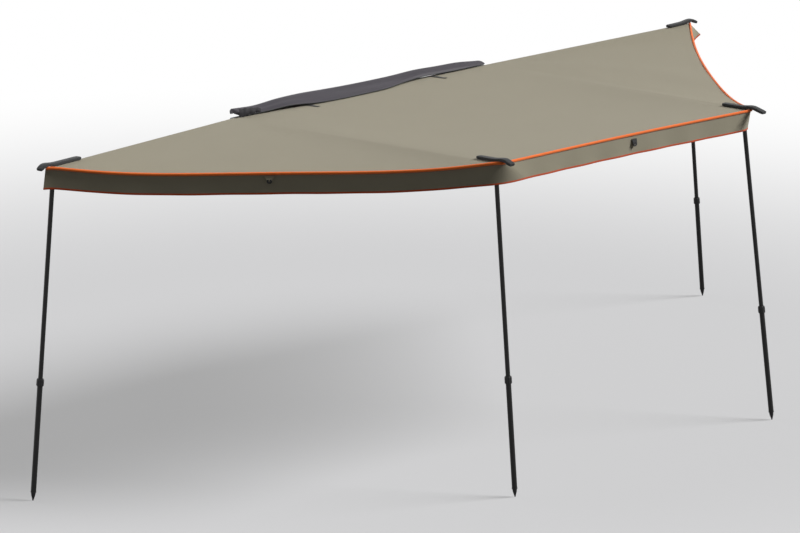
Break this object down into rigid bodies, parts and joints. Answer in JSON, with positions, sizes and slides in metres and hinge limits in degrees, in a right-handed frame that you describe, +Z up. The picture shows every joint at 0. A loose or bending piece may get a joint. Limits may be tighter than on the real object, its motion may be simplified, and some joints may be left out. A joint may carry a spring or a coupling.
{
  "type": "vehicle side awning",
  "caption": "Fold-out side awning for a roof rack: hinged swinging arms, folding telescopic legs, a sagging canvas canopy with hanging valances, and an opened storage cover.",
  "frame": {"origin": "on the back face of the middle rack bracket, halfway along the rail and level with the middle of the arms at their hinges", "axes": "+X along the rail towards the vehicle's rear, +Y into the roof rack, so the canopy reaches out along -Y, and +Z up"},
  "size_m": [6.6093, 2.6839, 2.0746],
  "materials": {
    "anodised_aluminium": "clear anodised, satin",
    "black_steel": "black powder coat, fine texture",
    "zinc_steel": "zinc plated, dull",
    "black_coated_tube": "black powder coat, satin",
    "black_nylon": "moulded nylon, matt",
    "khaki_canvas": "khaki woven canvas, matt",
    "black_webbing": "black webbing and padded cloth, matt",
    "charcoal_cover": "charcoal coated cloth, slight sheen"
  },
  "bodies": {
    "rack_side": {"backbone_rail": "anodised_aluminium", "rack_bracket_front": "black_steel", "rack_bracket_middle": "black_steel", "rack_bracket_rear": "black_steel", "hinge_fork_front": "black_steel", "hinge_fork_rear": "black_steel", "hinge_pin_front": "zinc_steel", "hinge_pin_rear": "zinc_steel", "storage_cover": "charcoal_cover", "storage_strap_front": "black_webbing", "storage_strap_rear": "black_webbing", "canopy_middle_front": "khaki_canvas", "canopy_middle_rear": "khaki_canvas", "valance_outer_front": "khaki_canvas", "valance_outer_rear": "khaki_canvas"},
    "arm_2": {"arm_2_tube": "anodised_aluminium", "arm_2_knuckle": "black_nylon", "arm_2_tip": "black_nylon", "corner_sleeve_2": "black_webbing", "leg_2_pivot_rivet": "zinc_steel", "canopy_front_fan": "khaki_canvas", "valance_front": "khaki_canvas"},
    "arm_1": {"arm_1_tube": "anodised_aluminium", "arm_1_knuckle": "black_nylon", "arm_1_tip": "black_nylon", "corner_sleeve_1": "black_webbing", "leg_1_pivot_rivet": "zinc_steel"},
    "arm_3": {"arm_3_tube": "anodised_aluminium", "arm_3_knuckle": "black_nylon", "arm_3_tip": "black_nylon", "corner_sleeve_3": "black_webbing", "leg_3_pivot_rivet": "zinc_steel", "canopy_rear_fan": "khaki_canvas", "valance_rear": "khaki_canvas"},
    "arm_4": {"arm_4_tube": "anodised_aluminium", "arm_4_knuckle": "black_nylon", "arm_4_tip": "black_nylon", "corner_sleeve_4": "black_webbing", "leg_4_pivot_rivet": "zinc_steel"},
    "leg_1": {"leg_1_head": "black_nylon", "leg_1_upper_tube": "black_coated_tube"},
    "leg_1_lower": {"leg_1_lower_tube": "black_coated_tube", "leg_1_spike": "black_nylon"},
    "leg_1_collar": {"leg_1_twist_collar": "black_nylon"},
    "leg_2": {"leg_2_head": "black_nylon", "leg_2_upper_tube": "black_coated_tube"},
    "leg_2_lower": {"leg_2_lower_tube": "black_coated_tube", "leg_2_spike": "black_nylon"},
    "leg_2_collar": {"leg_2_twist_collar": "black_nylon"},
    "leg_3": {"leg_3_head": "black_nylon", "leg_3_upper_tube": "black_coated_tube"},
    "leg_3_lower": {"leg_3_lower_tube": "black_coated_tube", "leg_3_spike": "black_nylon"},
    "leg_3_collar": {"leg_3_twist_collar": "black_nylon"},
    "leg_4": {"leg_4_head": "black_nylon", "leg_4_upper_tube": "black_coated_tube"},
    "leg_4_lower": {"leg_4_lower_tube": "black_coated_tube", "leg_4_spike": "black_nylon"},
    "leg_4_collar": {"leg_4_twist_collar": "black_nylon"}
  },
  "joints": [
    {"name": "arm_2_swing", "type": "hinge", "parent": "rack_side", "child": "arm_2", "pos_m": [-1.165, -0.096, 0], "axis": [0, 0, 1], "range_deg": [0, 92.72], "deforming": ["canopy_middle_front", "valance_outer_front"]},
    {"name": "arm_1_swing", "type": "hinge", "parent": "arm_2", "child": "arm_1", "pos_m": [-1.165, -0.096, 0], "axis": [0, 0, 1], "range_deg": [0, 77.37], "deforming": ["canopy_front_fan", "valance_front"]},
    {"name": "arm_3_swing", "type": "hinge", "parent": "rack_side", "child": "arm_3", "pos_m": [1.165, -0.192, 0], "axis": [0, 0, 1], "range_deg": [-89.34, 0], "deforming": ["canopy_middle_rear", "valance_outer_rear"]},
    {"name": "arm_4_swing", "type": "hinge", "parent": "arm_3", "child": "arm_4", "pos_m": [1.165, -0.192, 0], "axis": [0, 0, 1], "range_deg": [-87.28, 0], "deforming": ["canopy_rear_fan", "valance_rear"]},
    {"name": "leg_1_fold", "type": "hinge", "parent": "arm_1", "child": "leg_1", "pos_m": [-3.05328, -0.40185, 0.01402], "axis": [0.1723, -0.9851, 0], "range_deg": [0, 95.87]},
    {"name": "leg_2_fold", "type": "hinge", "parent": "arm_2", "child": "leg_2", "pos_m": [-1.24704, -2.33281, 0.04504], "axis": [0.9989, -0.0474, 0], "range_deg": [0, 92.88]},
    {"name": "leg_3_fold", "type": "hinge", "parent": "arm_3", "child": "leg_3", "pos_m": [1.1164, -2.33398, 0.00401], "axis": [0.9999, -0.0115, 0], "range_deg": [0, 97.17]},
    {"name": "leg_4_fold", "type": "hinge", "parent": "arm_4", "child": "leg_4", "pos_m": [3.05072, -0.2793, 0.02803], "axis": [0.0589, 0.9983, 0], "range_deg": [0, 94.31]},
    {"name": "leg_1_slide", "type": "slide", "parent": "leg_1", "child": "leg_1_lower", "axis": [0.1309, 0.0229, 0.9911], "range_m": [-0.05, 0.52]},
    {"name": "leg_2_slide", "type": "slide", "parent": "leg_2", "child": "leg_2_lower", "axis": [0.0043, 0.0902, 0.9959], "range_m": [-0.05, 0.52]},
    {"name": "leg_3_slide", "type": "slide", "parent": "leg_3", "child": "leg_3_lower", "axis": [0.0017, 0.1475, 0.9891], "range_m": [-0.05, 0.52]},
    {"name": "leg_4_slide", "type": "slide", "parent": "leg_4", "child": "leg_4_lower", "axis": [-0.1134, 0.0067, 0.9935], "range_m": [-0.05, 0.52]},
    {"name": "leg_1_twist", "type": "hinge", "parent": "leg_1_lower", "child": "leg_1_collar", "pos_m": [-3.05328, -0.40185, 0.01402], "axis": [-0.1309, -0.0229, -0.9911], "range_deg": [0, 90]},
    {"name": "leg_2_twist", "type": "hinge", "parent": "leg_2_lower", "child": "leg_2_collar", "pos_m": [-1.24704, -2.33281, 0.04504], "axis": [-0.0043, -0.0902, -0.9959], "range_deg": [0, 90]},
    {"name": "leg_3_twist", "type": "hinge", "parent": "leg_3_lower", "child": "leg_3_collar", "pos_m": [1.1164, -2.33398, 0.00401], "axis": [-0.0017, -0.1475, -0.9891], "range_deg": [0, 90]},
    {"name": "leg_4_twist", "type": "hinge", "parent": "leg_4_lower", "child": "leg_4_collar", "pos_m": [3.05072, -0.2793, 0.02803], "axis": [0.1134, -0.0067, -0.9935], "range_deg": [0, 90]}
  ]
}
